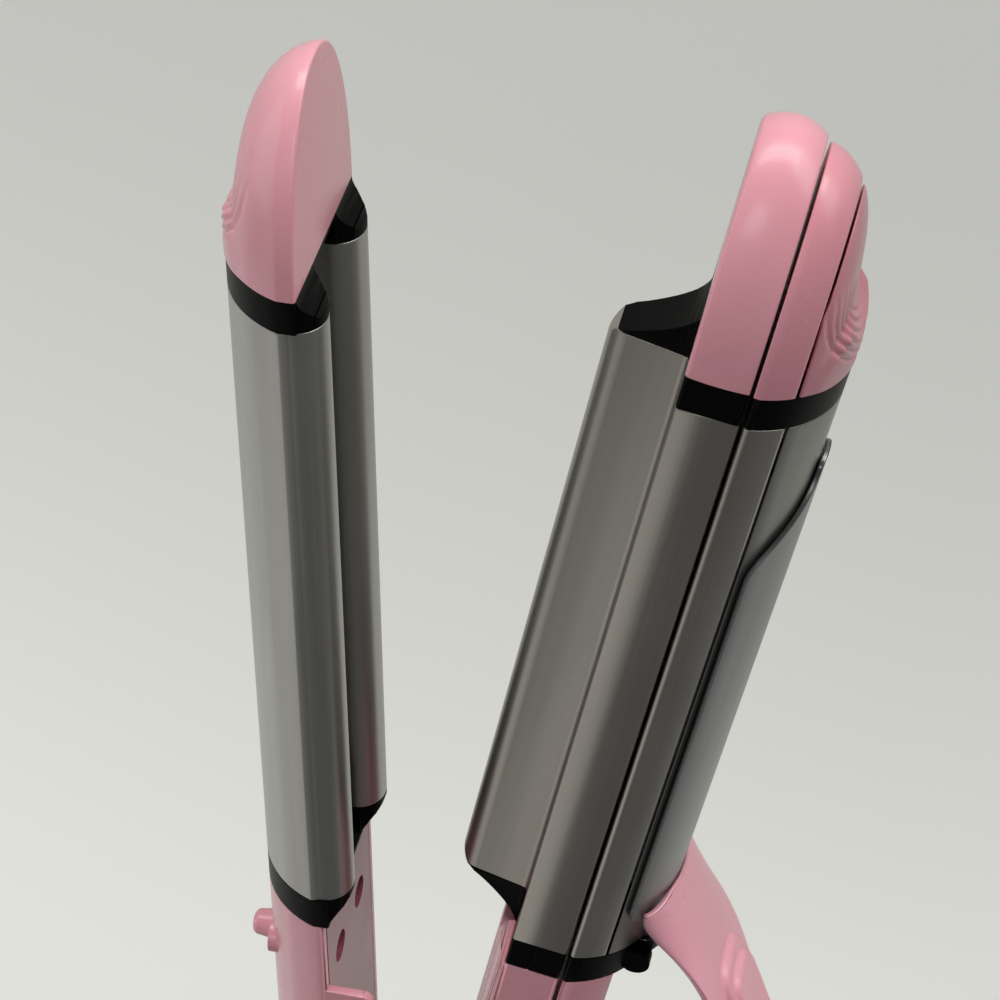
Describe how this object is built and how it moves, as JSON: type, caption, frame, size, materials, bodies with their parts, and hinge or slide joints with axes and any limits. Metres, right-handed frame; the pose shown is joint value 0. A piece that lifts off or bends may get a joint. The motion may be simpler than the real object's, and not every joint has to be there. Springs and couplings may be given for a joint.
{
  "type": "hair waver",
  "caption": "Hinged hair tool with a two-lobed wave arm, a ridged middle arm, and a curling arm with a sprung clip and thumb lever.",
  "frame": {"origin": "centre of the cord inlet's mouth at the tail end of the curling arm", "axes": "+X along the curling arm to the tips, +Y the way the wave arm opens, +Z along the hinge pin, with the mid-plane at Z = 0"},
  "size_m": [0.342, 0.1289, 0.0345],
  "materials": {
    "pink_gloss": "polished moulded plastic",
    "pink_deep": "satin moulded plastic",
    "black_resin": "heat-proof satin resin",
    "barrel_metal": "satin ceramic-coated aluminium",
    "clip_metal": "satin pressed sheet",
    "fastener_steel": "bright zinc",
    "heater_ceramic": "fired alumina",
    "spreader_metal": "as extruded",
    "board": "solder resist",
    "lens": "milky clear"
  },
  "bodies": {
    "curling_arm": {"curl_tip": "pink_gloss", "curl_tip_cap": "pink_gloss", "curl_upper_collar": "black_resin", "curl_plate": "barrel_metal", "curl_barrel": "barrel_metal", "curl_lower_collar": "black_resin", "curl_handle_shell": "pink_gloss", "curl_handle_cover": "pink_deep", "curl_heater": "heater_ceramic", "heat_spreader": "spreader_metal", "circuit_board": "board", "indicator_lens": "lens", "handle_screws": "fastener_steel", "hinge_pin": "fastener_steel", "hinge_nut": "fastener_steel", "arm_spring": "fastener_steel", "clip_pin": "fastener_steel", "clip_spring": "fastener_steel"},
    "middle_arm": {"middle_tip": "pink_gloss", "middle_upper_collar": "black_resin", "middle_barrel": "barrel_metal", "middle_plate": "barrel_metal", "middle_lower_collar": "black_resin", "middle_handle_shell": "pink_gloss", "middle_handle_cover": "pink_gloss", "middle_heater": "heater_ceramic"},
    "wave_arm": {"wave_tip": "pink_gloss", "wave_upper_collar": "black_resin", "wave_barrel": "barrel_metal", "wave_lower_collar": "black_resin", "wave_handle_shell": "pink_gloss", "wave_handle_cover": "pink_deep", "wave_heaters": "heater_ceramic", "wave_screws": "fastener_steel"},
    "clip": {"clip_plate": "clip_metal", "clip_bracket": "fastener_steel", "clip_rivets": "fastener_steel", "clip_lever": "pink_gloss", "clip_lever_screw": "fastener_steel"},
    "latch": {"mode_latch": "black_resin"},
    "power": {"power_button": "pink_deep"},
    "warmer": {"warmer_button": "pink_gloss"},
    "cooler": {"cooler_button": "pink_gloss"},
    "swivel": {"cord_swivel": "black_resin"}
  },
  "joints": [
    {"name": "middle_hinge", "type": "hinge", "parent": "curling_arm", "child": "middle_arm", "pos_m": [0.022, 0.002, 0], "axis": [0, 0, 1], "range_deg": [0, 10.9]},
    {"name": "wave_hinge", "type": "hinge", "parent": "middle_arm", "child": "wave_arm", "pos_m": [0.022, 0.002, 0], "axis": [0, 0, 1], "range_deg": [-10.9, 0], "stiffness_Nm_per_rad": 1.8},
    {"name": "clip_hinge", "type": "hinge", "parent": "curling_arm", "child": "clip", "pos_m": [0.1732, -0.00929, 0], "axis": [0, 0, -1], "range_deg": [0, 20], "stiffness_Nm_per_rad": 0.3, "springref_deg": -20.05},
    {"name": "latch_slide", "type": "slide", "parent": "middle_arm", "child": "latch", "axis": [1, 0, 0], "range_m": [0, 0.005]},
    {"name": "power_press", "type": "slide", "parent": "curling_arm", "child": "power", "axis": [0, 1, 0], "range_m": [0, 0.0007], "stiffness_N_per_m": 900},
    {"name": "warmer_press", "type": "slide", "parent": "curling_arm", "child": "warmer", "axis": [0, 1, 0], "range_m": [0, 0.0007], "stiffness_N_per_m": 900},
    {"name": "cooler_press", "type": "slide", "parent": "curling_arm", "child": "cooler", "axis": [0, 1, 0], "range_m": [0, 0.0007], "stiffness_N_per_m": 900},
    {"name": "swivel_turn", "type": "hinge", "parent": "curling_arm", "child": "swivel", "pos_m": [0, 0, 0], "axis": [1, 0, 0], "continuous": true}
  ]
}
